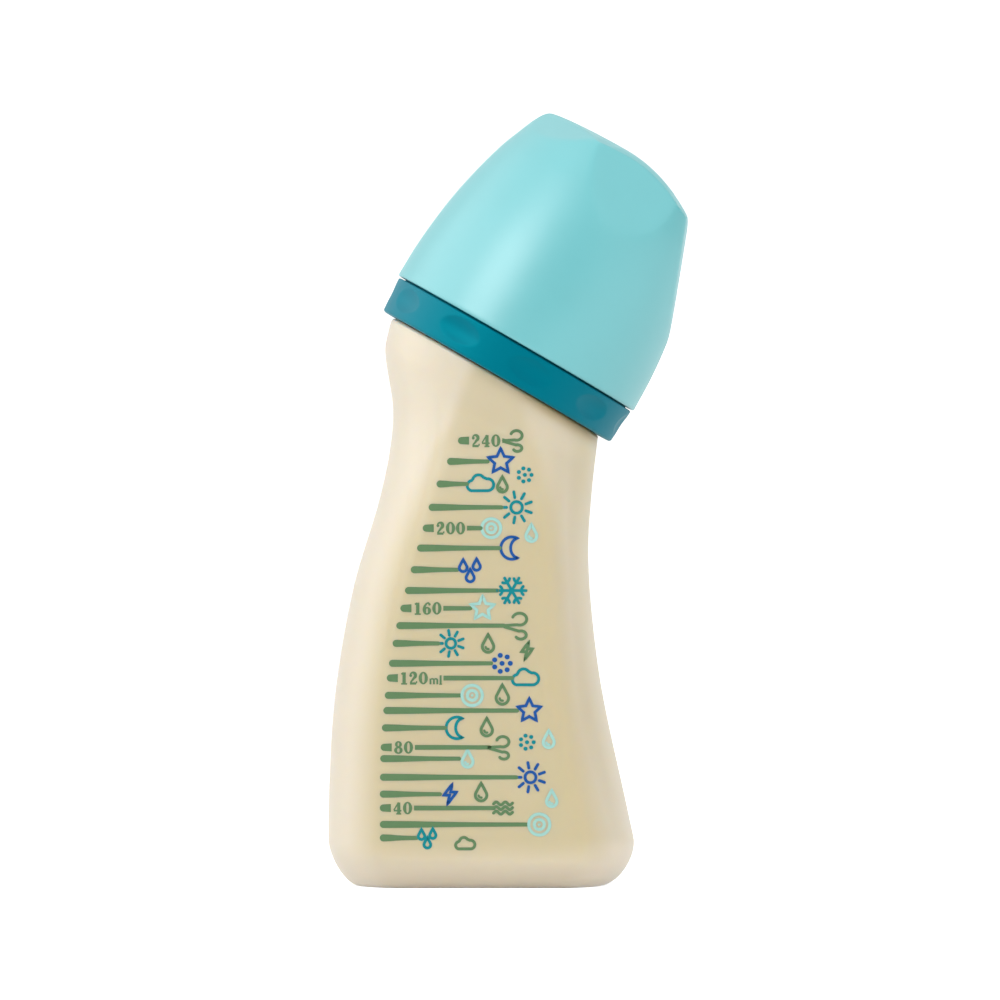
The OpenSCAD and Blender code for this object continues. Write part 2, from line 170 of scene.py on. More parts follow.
def add_mesh(name, shape, material):
    mesh = bpy.data.meshes.new(name)
    mesh.from_pydata(np.asarray(shape[0], float).tolist(), [], shape[1])
    mesh.shade_smooth()
    mesh.materials.append(material)
    return put(name, mesh)


def make_piece(name, body, shape, sharp, material, replaced=None):
    """Makes a closed mesh piece that rides on a body; edges over sharp degrees stay crisp."""
    piece = add_mesh(name, shape, material)
    shaped = bmesh.new()
    shaped.from_mesh(piece.data)
    bmesh.ops.recalc_face_normals(shaped, faces=shaped.faces)
    open_edges = sum(not edge.is_manifold for edge in shaped.edges)
    shaped.to_mesh(piece.data)
    shaped.free()
    if open_edges:
        raise RuntimeError(f"{name} has {open_edges} open edges")
    piece.data.set_sharp_from_angle(angle=math.radians(sharp))
    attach(piece, body)
    if replaced:
        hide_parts(replaced)
    return piece


def screw_ridge(root_r, crest_r, from_turn, to_turn, low, root_w, crest_w):
    """A thread ridge that climbs round the neck and fades in and out at its ends."""
    turns = np.linspace(from_turn, to_turn, int(180 * (to_turn - from_turn)))
    full = ramp(np.minimum(turns - from_turn, to_turn - turns), 0, 0.1)
    crest = mix(root_r, crest_r, mix(0.45, 1, full))
    half_root = root_w / 2 * mix(0.5, 1, full)
    half_crest = crest_w / 2 * mix(0.67, 1, full)
    # Across the ridge: share of its height, of its root's half width and of its crest's
    section = [(0, -1, 0), (0.8, -0.2, -0.84), (0.95, 0, -0.85), (1, 0, -0.5),
               (1, 0, 0.5), (0.95, 0, 0.85), (0.8, 0.2, 0.84), (0, 1, 0)]
    rows = [
        neck_ring(mix(root_r, crest, reach), low + SCREW_RISE * turns + r * half_root + c * half_crest,
                  2 * math.pi * turns)
        for reach, r, c in section
    ]
    return skin(np.stack(rows, axis=1), "flat")


# ---- Settings ----


def length(name, description, millimetres):
    return FloatProperty(
        name=name, description=description, default=millimetres * MM, unit="LENGTH", precision=5)


def number(name, description, value):
    return FloatProperty(name=name, description=description, default=value)


def angle(name, description, degrees):
    return FloatProperty(name=name, description=description, default=math.radians(degrees), subtype="ANGLE")


def count(name, description, value):
    return IntProperty(name=name, description=description, default=value, min=1)


def linear(hex_colour):
    """An sRGB hex colour as linear RGBA."""
    parts = [int(hex_colour[i:i + 2], 16) / 255 for i in (1, 3, 5)]
    return tuple(c / 12.92 if c <= 0.04045 else ((c + 0.055) / 1.055) ** 2.4 for c in parts) + (1.0,)


def colour(name, description, hex_colour):
    return FloatVectorProperty(
        name=name, description=description, default=linear(hex_colour), size=4, subtype="COLOR", min=0, max=1)


class BottleBodySettings(bpy.types.PropertyGroup):
    foot_left: length("Foot, back side", "Reach of the back side at the foot", 35.2)
    foot_right: length("Foot, leaning side", "Reach of the leaning side at the foot", 38.2)
    depth: length("Depth", "Depth from the flat front panel to the flat back panel", 51.6)
    wall: length("Wall", "Wall of the body", 1.5)
    floor_t: length("Floor", "Thickness of the floor", 2)
    push_up: length("Push-up", "Rise of the middle of the floor above the standing edge", 2.4)
    left_bow: length("Back bow", "How far the back side's waist bows in", 3.45)
    right_bow: length("Leaning bow", "How far the leaning side bows in", 5.6)
    left_corner_w: length("Back corner width", "Width of the foot's corner on the back side", 6.6)
    left_corner_h: length("Back corner height", "Height of the foot's corner on the back side", 10.5)
    right_corner_w: length("Leaning corner width", "Width of the foot's corner on the leaning side", 9.8)
    right_corner_h: length("Leaning corner height", "Height of the foot's corner on the leaning side", 11)
    front_corner_w: length("Front edge depth", "Depth of the foot's rounding, front and back", 6)
    front_corner_h: length("Front edge height", "Height of the foot's rounding, front and back", 7)
    seam: length("Parting line", "How far the mould's parting line stands out of the sides", 0.06)
    # Painted light and shade: the sides are painted paler where they curve away, and the flat panels darker
    # amber
    side_colour: colour("Side colour", "The milky wall where it curves away", "#EADDC6")
    panel_colour: colour("Panel colour", "The milky wall of the flat panels", "#D9CBA5")
    # Painted shadow: this amber colour under the ring, on the leaning side, stands in for the ring's shade
    amber_colour: colour("Amber", "The thick wall under the ring, on the leaning side", "#E6C58F")


class BottleNeckSettings(bpy.types.PropertyGroup):
    shoulder_r: length("Shoulder", "Radius of the round shoulder under the ring", 27.7)
    shoulder_round: length("Shoulder rounding", "Rounding of the shoulder's edge", 0.8)
    mouth_r: length("Mouth", "Radius of the mouth's bore", 23.8)
    wall: length("Wall", "Wall of the neck", 1.6)
    height: length("Height", "Height of the neck above the shoulder", 14.2)
    turns: number("Thread turns", "Turns of thread on the neck", 1.25)
    thread_h: length("Thread height", "Height of the thread's ridge", 1.5)
    root_w: length("Thread root", "Width of the ridge at its root", 2.4)
    crest_w: length("Thread crest", "Width of the ridge at its crest", 1.2)
    thread_start: length("Thread start", "Height of the thread's lower end", 3.2)
    flank_gap: length("Flank gap", "Clearance between the two ridges' flanks", 0.35)


class BottleRingSettings(bpy.types.PropertyGroup):
    radius: length("Radius", "Radius of the ring's upper edge", 31.15)
    taper: length("Taper", "How much the ring narrows towards its foot", 0.55)
    foot: length("Foot", "Height of the ring's foot above the shoulder", 0.12)
    ledge: length("Ledge", "Height of the ledge under the hood", 8.7)
    foot_round: length("Foot rounding", "Rounding of the ring's foot", 0.7)
    seat_r: length("Seat", "Radius of the seat inside the hood", 29.55)
    bead: length("Snap bead", "How far the snap bead stands out of the seat", 0.2)
    bead_up: length("Bead height", "Height of the snap bead above the ledge", 3.5)
    under: length("Underside", "Height of the underside of the ring's top", 16.6)
    top: length("Top", "Height of the ring's top", 18.2)
    top_round: length("Top rounding", "Rounding of the ring's top edge", 2)
    hole_r: length("Hole", "Radius of the hole that the teat stands in", 21.2)
    bore_r: length("Bore", "Radius of the ring's inside", 27.3)
    turns: number("Thread turns", "Turns of thread in the ring", 1)
    dimples: count("Dimples", "Number of thumb dimples", 10)
    dimple_w: length("Dimple width", "Width of a dimple round the ring", 11)
    dimple_h: length("Dimple height", "Height of a dimple", 5.6)
    dimple_depth: length("Dimple depth", "Depth of a dimple", 0.8)
    dimple_from: angle("First dimple", "Direction of the first dimple, from the leaning side", -78)
    tint: colour("Colour", "The ring's polypropylene", "#006075")


class BottleTeatSettings(bpy.types.PropertyGroup):
    flange_r: length("Flange", "Radius of the sealing flange", 25.8)
    flange_t: length("Flange thickness", "Thickness of the sealing flange", 1.8)
    bead: length("Bead", "How far the bead stands out over the ring's hole", 1)
    bead_h: length("Bead height", "Height of the bead over the ring's top", 2)
    wall: length("Wall", "Wall of the teat", 1.5)
    nipple_r: length("Nipple", "Radius of the nipple", 6.2)
    dome_h: length("Dome height", "Height of the dome", 18)
    nipple_h: length("Nipple height", "Height of the nipple above the dome", 15)
    feed_r: length("Feed hole", "Radius of the feed hole", 0.4)
    gap: length("Gap", "Gap between the teat and what holds it", 0.3)
    tint: colour("Colour", "The teat's silicone", "#F2EEE6")


class BottleHoodSettings(bpy.types.PropertyGroup):
    radius: length("Radius", "Radius of the hood's skirt", 31.65)
    wall: length("Wall", "Wall of the hood", 1.4)
    foot: length("Foot", "Height of the hood's foot above the shoulder", 9.1)
    height: length("Height", "Height from the foot to the middle of the crown", 51.9)
    crown_r: length("Crown", "Distance from the axis at which the crown's falls are given", 20)
    fall_lean: length("Fall, leaning side", "How far the crown falls to the leaning side", 6.3)
    fall_back: length("Fall, back side", "How far the crown falls to the back side", 1.2)
    fall_front: length("Fall, front", "How far the crown falls to the front and the back", 1.8)
    facets: count("Facets", "Number of flat facets cut into the top", 5)
    facet_reach: length("Facet reach", "Distance of the facets from the point that they stand round", 22.7)
    facet_mid: length("Facet middle", "Height of that point over the foot", 34.8)
    slope_lean: angle("Slope, leaning side", "Slope of a facet on the leaning side, from upright", 20.9)
    slope_back: angle("Slope, back side", "Slope of a facet on the back side, from upright", 52.7)
    ridge_from: angle("First ridge", "Direction of the first ridge, from the leaning side", 34)
    dish: length("Dish", "Depth of the hollow behind the crown's front rim", 0.9)
    tint: colour("Colour", "The hood's polypropylene", "#6FC5CA")


class BottlePrintSettings(bpy.types.PropertyGroup):
    ink_t: length("Ink", "How far the ink stands above the wall", 0.04)
    bar_w: length("Bar", "Thickness of a scale bar at its round end", 1.65)
    numeral_h: length("Numerals", "Height of the scale's numerals", 3.05)
    line_w: length("Line", "Thickness of the motifs' lines", 0.68)
    green: colour("Green", "Ink of the scale", "#64875E")
    teal: colour("Teal", "Ink of the teal motifs", "#0B8B93")
    blue: colour("Blue", "Ink of the blue motifs", "#1C58A4")
    aqua: colour("Aqua", "Ink of the pale motifs", "#A8DAD2")


class BottleStageSettings(bpy.types.PropertyGroup):
    floor_size: length("Floor", "Width of the floor and the backdrop", 6000)
    distance: length("Camera distance", "From the camera to the bottle's middle plane", 2500)
    eye_x: length("Camera across", "How far the camera stands to the leaning side", 4.66)
    eye_z: length("Camera height", "Height of the camera above the floor", 89.8)
    field: length("Field", "Width of the view at the bottle", 233.2)
    key_power: number("Key lamp", "Power of the soft lamp at the upper left", 15.5)
    side_power: number("Side lamp", "Power of the large lamp at the left", 13.5)
    fill_power: number("Fill lamp", "Power of the large dim lamp at the right", 27)
    sky: number("Sky", "Strength of the pale light from all sides", 0.36)


# ---- The body's skin ----

# Each side's bow: (share of its height, share of its bow off the straight line between its ends)
LEFT_BOW = [(0, 0), (0.15, -0.64), (0.34, -1), (0.53, -0.55), (0.7, 0.62), (0.83, 0.83),
            (0.945, -0.195), (0.984, -0.115), (1, 0)]
RIGHT_BOW = [(0, 0), (0.19, -0.4), (0.43, -0.9), (0.6, -1), (0.75, -0.875), (0.88, -0.48), (1, 0)]
# Width of the flat panels: (share of the height, share of the body's width)
PANEL = [(0, 0.67), (0.52, 0.63), (0.68, 0.59), (0.8, 0.49), (0.9, 0.34), (0.97, 0.2), (1, 0.2)]
# How crisp the panels' edges are, where they start to round out, and their room in the shoulder
PANEL_EDGE, PANEL_END, PANEL_ROOM = 20, 0.9, 0.25
# The panels' darker colour, painted shade, comes in as the round skin nears and passes their plane, at these
# shares of its reach
PANEL_FADE = 0.62, 1.04
# The upper ends of the panels' painted shade, in millimetres: (height, back edge) and (height, leaning edge)
TONGUE_BACK = [(75, -17.0), (85, -14.7), (93, -12.9), (101, -10.6), (108, -6.4), (112, -5.0), (115, -4.1)]
TONGUE_LEAN = [(75, 17.0), (85, 16.5), (93, 15.3), (101, 13.4), (108, 10.7), (112, 9.7), (115, 6.0)]
# The foot's corners are softer than an ellipse, whose exponent is 2
CORNER_SOFT = 1.55
# The lowest share of the height, whose rings lie closer together
FOOT_SHARE = 0.11
# The floor's push-up: (share of the foot's size, share of the rise)
FLOOR_RISE = [(0, 1), (0.35, 0.96), (0.65, 0.75), (0.8, 0.3), (0.86, 0)]


def shoulder_ends(neck):
    """The shoulder's edge on the back side and on the leaning side."""
    return [on_neck(side * neck.shoulder_r, 0, -neck.shoulder_round) for side in (-1, 1)]


def corner_in(w, h, z):
    """How far a rounded corner w wide and h high stands in at height z."""
    up = np.clip((h - np.maximum(z, 0)) / h, 0, 1)
    return w * (1 - (1 - up ** CORNER_SOFT) ** (1 / CORNER_SOFT))


def body_level(t, inset):
    """What shapes the skin at share t of the height, inset from the outer face."""
    body, neck = bpy.context.scene.bottle_body, bpy.context.scene.bottle_neck
    left_top, right_top = shoulder_ends(neck)
    lift = body.floor_t if inset > 0 else 0.0
    zl, zr = t * left_top[2], t * right_top[2]
    zm = (zl + zr) / 2
    xl = (mix(-body.foot_left, left_top[0], t) + body.left_bow * along(LEFT_BOW, t) + inset
          + corner_in(body.left_corner_w, body.left_corner_h - lift, zl - lift))
    xr = (mix(body.foot_right, right_top[0], t) + body.right_bow * along(RIGHT_BOW, t) - inset
          - corner_in(body.right_corner_w, body.right_corner_h - lift, zr - lift))
    half = np.hypot(xr - xl, zr - zl) / 2
    draw_in = inset + corner_in(body.front_corner_w, body.front_corner_h - lift, zm - lift)
    round_out = ramp(t, PANEL_END, 1)
    bulge = mix(body.depth / 2 / np.sqrt(1 - along(PANEL, t) ** 2) - draw_in, half, round_out)
    return {
        "x": (xl + xr) / 2, "z": zm, "half": half, "bulge": bulge,
        "run_x": (xr - xl) / (2 * half), "run_z": (zr - zl) / (2 * half),
        "flat_y": body.depth / 2 - draw_in + neck.shoulder_r * PANEL_ROOM * round_out,
    }


def flattened(y, flat_y):
    """The round skin's reach y, cut flat by the panel."""
    return y * (1 + (np.abs(y) / flat_y) ** PANEL_EDGE) ** (-1 / PANEL_EDGE)


def body_rings(shares, inset, angles, seam=0.0):
    """Rings of the skin at shares of the height, and how far each point lies in a flat panel."""
    level = {k: v[:, None] for k, v in body_level(shares, inset).items()}
    # The parting line is about 0.3 mm wide to each side
    half = level["half"] + seam * np.exp(-(np.sin(angles) * level["bulge"] / (0.3 * MM)) ** 2)
    y = level["bulge"] * np.sin(angles)
    reach = half * np.cos(angles)
    points = np.stack([
        level["x"] + level["run_x"] * reach, flattened(y, level["flat_y"]),
        level["z"] + level["run_z"] * reach], axis=-1)
    return points, ramp(np.abs(y) / level["flat_y"], *PANEL_FADE)


def drawn_in(ring, k, z):
    """A ring drawn in to share k of its size and moved to height z."""
    body = bpy.context.scene.bottle_body
    middle = np.array([(body.foot_right - body.foot_left) / 2, 0.0, 0.0])
    flat = middle + (ring - middle) * k
    flat[:, 2] = z
    return flat


def front_surface(x, z, height):
    """Points on the body's front, seen at (x, z), standing out of it by height."""
    count = 1500
    levels = body_level(np.linspace(0.02, 1, count), 0.0)
    low, high = np.zeros_like(x), np.full_like(x, count - 1)
    for _ in range(40):
        t = (low + high) / 2
        at = {k: np.interp(t, np.arange(count), v) for k, v in levels.items()}
        below = at["z"] + at["run_z"] * (x - at["x"]) / at["run_x"] < z
        low, high = np.where(below, t, low), np.where(below, high, t)
    s = np.clip((x - at["x"]) / at["run_x"] / at["half"], -0.999, 0.999)
    y = flattened(at["bulge"] * np.sqrt(1 - s * s), at["flat_y"])
    return np.stack([x, -y - height, z], axis=-1)


# ---- Materials ----


def add_node(tree, kind, settings=None, values=None, links=None):
    """Adds one node with its settings, its sockets' values and its links."""
    node = tree.nodes.new(kind)
    for name, value in (settings or {}).items():
        setattr(node, name, value)
    for socket, value in (values or {}).items():
        node.inputs[socket].default_value = value
    for socket, source in (links or {}).items():
        tree.links.new(source, node.inputs[socket])
    return node


def clouded(tree, tint, spread, size):
    """A colour that drifts a little lighter and darker over patches of a real size."""
    place = add_node(tree, "ShaderNodeTexCoord")
    patches = add_node(tree, "ShaderNodeTexNoise", values={"Scale": 1 / size, "Detail": 3.0},
                       links={"Vector": place.outputs["Object"]})
    darker, lighter = ([min(1.0, c * k) for c in tint[:3]] + [1.0] for k in (1 - spread, 1 + spread))
    return add_node(tree, "ShaderNodeMix", {"data_type": "RGBA"}, {6: darker, 7: lighter},
                    {0: patches.outputs["Fac"]}).outputs[2]


def new_material(name, paint, grain=None, **values):
    """A material: paint gives its colour's socket, grain is its bump's (size, depth, strength)."""
    material = bpy.data.materials.new(name)
    material.use_nodes = True
    tree = material.node_tree
    shader = tree.nodes["Principled BSDF"]
    tree.links.new(paint(tree), shader.inputs["Base Color"])
    if grain:
        size, depth, strength = grain
        place = add_node(tree, "ShaderNodeTexCoord")
        bumps = add_node(tree, "ShaderNodeTexNoise", values={"Scale": 1 / size, "Detail": 2.0},
                         links={"Vector": place.outputs["Object"]})
        bump = add_node(tree, "ShaderNodeBump", values={"Strength": strength, "Distance": depth},
                        links={"Height": bumps.outputs["Fac"]})
        tree.links.new(bump.outputs["Normal"], shader.inputs["Normal"])
    for socket, value in values.items():
        shader.inputs[socket.replace("_", " ")].default_value = value
    return material


def ppsu_blow_moulded(side, panel, amber):
    """Blow-moulded PPSU: milky and softly glossy, with painted shade: deeper amber on the flat panels and the
    leaning side, a painted amber shadow under the ring, and paler where the wall curves away.
    """
    def paint(tree):
        # panel carries the painted shade of the panels and the leaning side; thick carries the painted shadow
        # under the ring
        flat, thick = (add_node(tree, "ShaderNodeAttribute", {"attribute_name": name}).outputs["Fac"]
                       for name in ("panel", "thick"))
        milky = add_node(tree, "ShaderNodeMix", {"data_type": "RGBA"}, links={
            0: flat, 6: clouded(tree, side, 0.02, 25 * MM), 7: clouded(tree, panel, 0.025, 30 * MM)})
        return add_node(tree, "ShaderNodeMix", {"data_type": "RGBA"}, {7: amber},
                        {0: thick, 6: milky.outputs[2]}).outputs[2]
    # The mould's polish leaves a faint unevenness, drawn coarser than it is
    return new_material("ppsu_blow_moulded", paint, (2.5 * MM, 0.03 * MM, 0.12), Roughness=0.38, IOR=1.65,
                        Subsurface_Weight=0.7, Subsurface_Radius=(1.0, 0.75, 0.45), Subsurface_Scale=2 * MM)


def polypropylene_moulded(name, tint, roughness, soft, gloss_tint):
    """Injection-moulded polypropylene: satin from a finely eroded mould, with a faint cloudiness.

    A deep colour has its gloss tinted, so that it stays deep where it turns to the light.
    """
    # Spark-eroded grain is about 0.05 mm; it is drawn at 0.35 mm so that it shows
    return new_material(name, lambda tree: clouded(tree, tint, 0.03, 14 * MM), (0.35 * MM, 0.02 * MM, 0.12),
                        Roughness=roughness, IOR=1.55, Specular_IOR_Level=1.0, Specular_Tint=gloss_tint,
                        Subsurface_Weight=soft, Subsurface_Radius=(0.5, 0.9, 1.0), Subsurface_Scale=1.2 * MM)


def silicone_moulded(tint):
    """Liquid silicone rubber: clear but milky, with a soft gloss."""
    return new_material("silicone_moulded", lambda tree: clouded(tree, tint, 0.02, 9 * MM),
                        (0.6 * MM, 0.02 * MM, 0.1), Roughness=0.3, IOR=1.41, Transmission_Weight=0.15,
                        Subsurface_Weight=0.7, Subsurface_Radius=(1.0, 0.95, 0.9), Subsurface_Scale=3 * MM)


def screen_ink(name, tint):
    """Screen-printed ink: flat and even, a little thinner in small patches."""
    return new_material(name, lambda tree: clouded(tree, tint, 0.06, 1.2 * MM),
                        Roughness=0.6, IOR=1.5, Specular_IOR_Level=0.2)


# ---- Pieces ----


def set_attribute(piece, name, values):
    piece.data.attributes.new(name, "FLOAT", "POINT").data.foreach_set("value", values)


class BottleAddBody(bpy.types.Operator):
    """Adds the hollow blow-moulded body with its threaded neck"""

    bl_idname = "bottle.add_body"
    bl_label = "Body"

    # The share of the height at which the inside passes into the neck
    INNER_TOP = 0.975

    def collar(self, body, neck):
        """The neck's outline, from inside the shoulder over the lip and down to the shoulder's edge."""
        out_r, lip, fillet = neck.mouth_r + neck.wall, neck.wall / 3, 0.5 * MM
        round_r = neck.shoulder_round
        return np.vstack([
            [(neck.shoulder_r - body.wall - round_r, -neck.wall)],
            arc((neck.mouth_r + fillet, -neck.wall + fillet), fillet, -90, -180, 5),
            arc((neck.mouth_r + lip, neck.height - lip), lip, 180, 90, 6),
            arc((out_r - lip, neck.height - lip), lip, 90, 0, 6),
            arc((out_r + fillet, fillet), fillet, 180, 270, 5),
            arc((neck.shoulder_r - round_r, -round_r), round_r, 90, 12, 6),
        ])

    def amber(self, x, height, panel):
        """How far the wall takes the panels' darker amber colour, painted shade, at places in millimetres."""
        panel = panel * ramp(height, 3, 12)
        # Near the neck each panel's painted shade ends in a tongue that half fades on the leaning side
        back_in, lean_in = (ramp(x - along(edge, height), -2, 2) for edge in (TONGUE_BACK, TONGUE_LEAN))
        panel = mix(panel, 0.75 * back_in * (1 - 0.6 * lean_in), ramp(height, 80, 100))
        # Painted shade: the leaning side, turned from the light, is warmer, the more so the higher up
        flank = 0.5 * ramp(height, 5, 45) + 0.3 * ramp(height, 55, 95)
        return np.maximum(panel, flank * ramp(x, 17, 25))

    def execute(self, context):
        body, neck = context.scene.bottle_body, context.scene.bottle_neck
        # The parting line needs a few more points on each side
        seam = np.radians([-0.9, -0.6, -0.3, 0.3, 0.6, 0.9])
        angles = np.sort(np.concatenate([circle_angles(256), seam % (2 * math.pi), seam + math.pi]))
        low = FOOT_SHARE * np.linspace(0, 1, 26) ** 2
        outer, outer_panel = body_rings(
            np.concatenate([low, np.linspace(FOOT_SHARE, 1, 110)[1:]]), 0.0, angles, body.seam)
        inner_foot = 2 * body.floor_t / sum(end[2] for end in shoulder_ends(neck))
        inner, inner_panel = body_rings(
            mix(inner_foot, self.INNER_TOP, np.linspace(0, 1, 70) ** 1.35), body.wall, angles)
        shares = np.linspace(0.04, 0.86, 24)
        rise = body.push_up * np.clip(along(FLOOR_RISE, shares), 0, 1)
        well = [drawn_in(inner[0], k + 0.02, body.floor_t + h) for k, h in zip(shares, rise)]
        foot = [drawn_in(outer[0], k, h) for k, h in zip(shares, rise)]
        collar = [neck_ring(r, h, angles) for r, h in self.collar(body, neck)]
        middles = [drawn_in(inner[0][:1], 0, z) for z in (body.floor_t + body.push_up, body.push_up)]
        shell = skin([*well, *inner, *collar, *outer[::-1], *foot[::-1]], middles)
        out_r = neck.mouth_r + neck.wall
        ridge = screw_ridge(out_r - RIDGE_SUNK, out_r + neck.thread_h, 0, neck.turns, neck.thread_start,
                            neck.root_w, neck.crest_w)
        piece = make_piece(
            "bottle_shell", "bottle_body", joined([shell, ridge]), 50,
            ppsu_blow_moulded(body.side_colour, body.panel_colour, body.amber_colour), "bottle")
        place = np.array([v.co for v in piece.data.vertices])
        # How far each point takes the painted shade of the panels and the leaning side
        panel = np.zeros(len(place))
        start = len(well) * len(angles)
        panel[start:start + inner_panel.size] = inner_panel.ravel()
        start += inner_panel.size + len(collar) * len(angles)
        panel[start:start + outer_panel.size] = outer_panel[::-1].ravel()
        set_attribute(piece, "panel", self.amber(place[:, 0] / MM, place[:, 2] / MM, panel))
        # A painted amber shadow under the ring, on the leaning side, kept in the attribute named thick
        across, up = (place - SHOULDER) @ NECK_SIDE / MM, (place - SHOULDER) @ NECK_AXIS / MM
        set_attribute(piece, "thick", ramp(across, -3, 17) * (1 - ramp(-up, 0, 3.5)))
        return {"FINISHED"}


class BottleAddRing(bpy.types.Operator):
    """Adds the screw ring with its thumb dimples and its thread"""

    bl_idname = "bottle.add_ring"
    bl_label = "Screw ring"

    # How softly a dimple's rim is broken, and the share of the grip's height at which it lies
    RIM_SOFT, DIMPLE_AT = 0.06, 0.54

    def outline(self, ring, edge):
        foot_r = ring.radius - ring.taper
        bead_at = ring.ledge + ring.bead_up
        inner = 0.6 * MM
        return np.vstack([
            arc((foot_r - ring.foot_round, ring.foot + ring.foot_round), ring.foot_round, -90, -5, 9),
            dense([(foot_r, ring.foot + ring.foot_round), (ring.radius, ring.ledge - edge)], 0.22 * MM),
            arc((ring.radius - edge, ring.ledge - edge), edge, 20, 90, 4),
            [(ring.seat_r + edge, ring.ledge)],
            arc((ring.seat_r + edge, ring.ledge + edge), edge, -110, -175, 4),
            [(ring.seat_r, bead_at - 3 * ring.bead)],
            arc((ring.seat_r, bead_at), (ring.bead, 2 * ring.bead), -60, 60, 7),
            [(ring.seat_r, bead_at + 3 * ring.bead)],
            arc((ring.seat_r - ring.top_round, ring.top - ring.top_round), ring.top_round, 0, 90, 10),
            arc((ring.hole_r + edge, ring.top - edge), edge, 90, 180, 5),
            [(ring.hole_r, ring.under), (ring.bore_r - inner, ring.under)],
            arc((ring.bore_r - inner, ring.under - inner), inner, 80, 0, 5),
            dense([(ring.bore_r, ring.under - 0.8 * MM), (ring.bore_r, ring.foot + edge)], 3 * MM),
            arc((ring.bore_r + edge, ring.foot + edge), edge, 200, 270, 4),
        ])

    def execute(self, context):
        ring, neck = context.scene.bottle_ring, context.scene.bottle_neck
        angles = circle_angles(720)
        edge = 0.35 * MM
        # The dimples dip into the grip's face: round hollows with softly broken edges
        middle = mix(ring.foot, ring.ledge, self.DIMPLE_AT)
        step = 2 * math.pi / ring.dimples
        round_by = (angles - ring.dimple_from + step / 2) % step - step / 2
        rows = []
        for r, h in self.outline(ring, edge):
            dip = 0.0
            if r > ring.bore_r + 1.5 * MM and h < ring.ledge:
                hollow = 1 - (2 * round_by * r / ring.dimple_w) ** 2 - (2 * (h - middle) / ring.dimple_h) ** 2
                dip = ring.dimple_depth * self.RIM_SOFT * np.logaddexp(0, hollow / self.RIM_SOFT)
                dip = dip * ramp(ring.ledge - edge - h, 0, 0.8 * MM)
            rows.append(neck_ring(r - dip, h, angles))
        # The ring's ridge lies under the neck's, by the flank gap
        lower = neck.flank_gap + (neck.root_w + neck.crest_w) / 2
        start = (ring.foot + neck.root_w / 2 + 0.5 * MM - neck.thread_start + lower) / SCREW_RISE
        ridge = screw_ridge(ring.bore_r + RIDGE_SUNK, ring.bore_r - neck.thread_h, start, start + ring.turns,
                            neck.thread_start - lower, neck.root_w, neck.crest_w)
        finish = polypropylene_moulded("polypropylene_satin_teal", ring.tint, 0.56, 0.0, (0.0, 0.9, 1.0, 1.0))
        shape = joined([skin(rows), ridge])
        make_piece("grip_ring", "ring_body", shape, 40, finish, "screw_ring")
        return {"FINISHED"}


class BottleAddTeat(bpy.types.Operator):
    """Adds the hollow silicone teat that the ring holds on the lip"""

    bl_idname = "bottle.add_teat"
    bl_label = "Teat"

    # Radius of the dome and nipple: (share of the rise, share from nipple to dome foot)
    DOME = [(0, 1), (0.2, 0.93), (0.45, 0.7), (0.7, 0.36), (0.88, 0.12), (1, 0.04)]

    def side(self, teat, ring, foot, inset):
        """The outline above the ring, inset from its outer face."""
        dome_r = ring.hole_r + teat.bead / 3
        dome_top = foot + teat.dome_h
        ball = dome_top + teat.nipple_h - teat.nipple_r
        t = np.linspace(0, 1, 34)
        dome = mix(teat.nipple_r, dome_r, along(self.DOME, t)) - inset
        r = teat.nipple_r - inset
        tip = 90 - math.degrees(math.asin(teat.feed_r / r))
        return np.vstack([
            np.stack([dome, foot + teat.dome_h * t], axis=1),
            dense([(r, dome_top + 0.8 * MM), (r, ball - 0.4 * MM)], 1.5 * MM),
            arc((0, ball), r, 0, tip, 18)])

    def execute(self, context):
        teat, ring, neck = context.scene.bottle_teat, context.scene.bottle_ring, context.scene.bottle_neck
        foot = neck.height + teat.gap
        flange_top = foot + teat.flange_t
        groove_r = ring.hole_r - teat.gap
        bead_r = ring.hole_r + teat.bead
        bead_foot = ring.top + teat.gap
        dome_foot = bead_foot + teat.bead_h
        edge, bevel, nick = 0.4 * MM, 0.3 * MM, 0.1 * MM
        outline = np.vstack([
            [(groove_r - teat.wall, foot)],
            arc((teat.flange_r - edge, foot + edge), edge, -90, 0, 5),
            arc((teat.flange_r - edge, flange_top - edge), edge, 0, 90, 5),
            [(groove_r + bevel, flange_top), (groove_r, flange_top + bevel),
             (groove_r, bead_foot - nick), (groove_r + nick, bead_foot)],
            arc((bead_r - edge, bead_foot + edge), edge, -90, 0, 5),
            arc((bead_r - edge, dome_foot - 2 * edge), edge, 0, 50, 4),
            self.side(teat, ring, dome_foot, 0.0),
            self.side(teat, ring, dome_foot, teat.wall)[::-1],
            [(groove_r - teat.wall, bead_foot)],
        ])
        shape = skin([neck_ring(r, h, circle_angles(192)) for r, h in outline])
        make_piece("soft_teat", "teat_body", shape, 50, silicone_moulded(teat.tint), "teat")
        return {"FINISHED"}


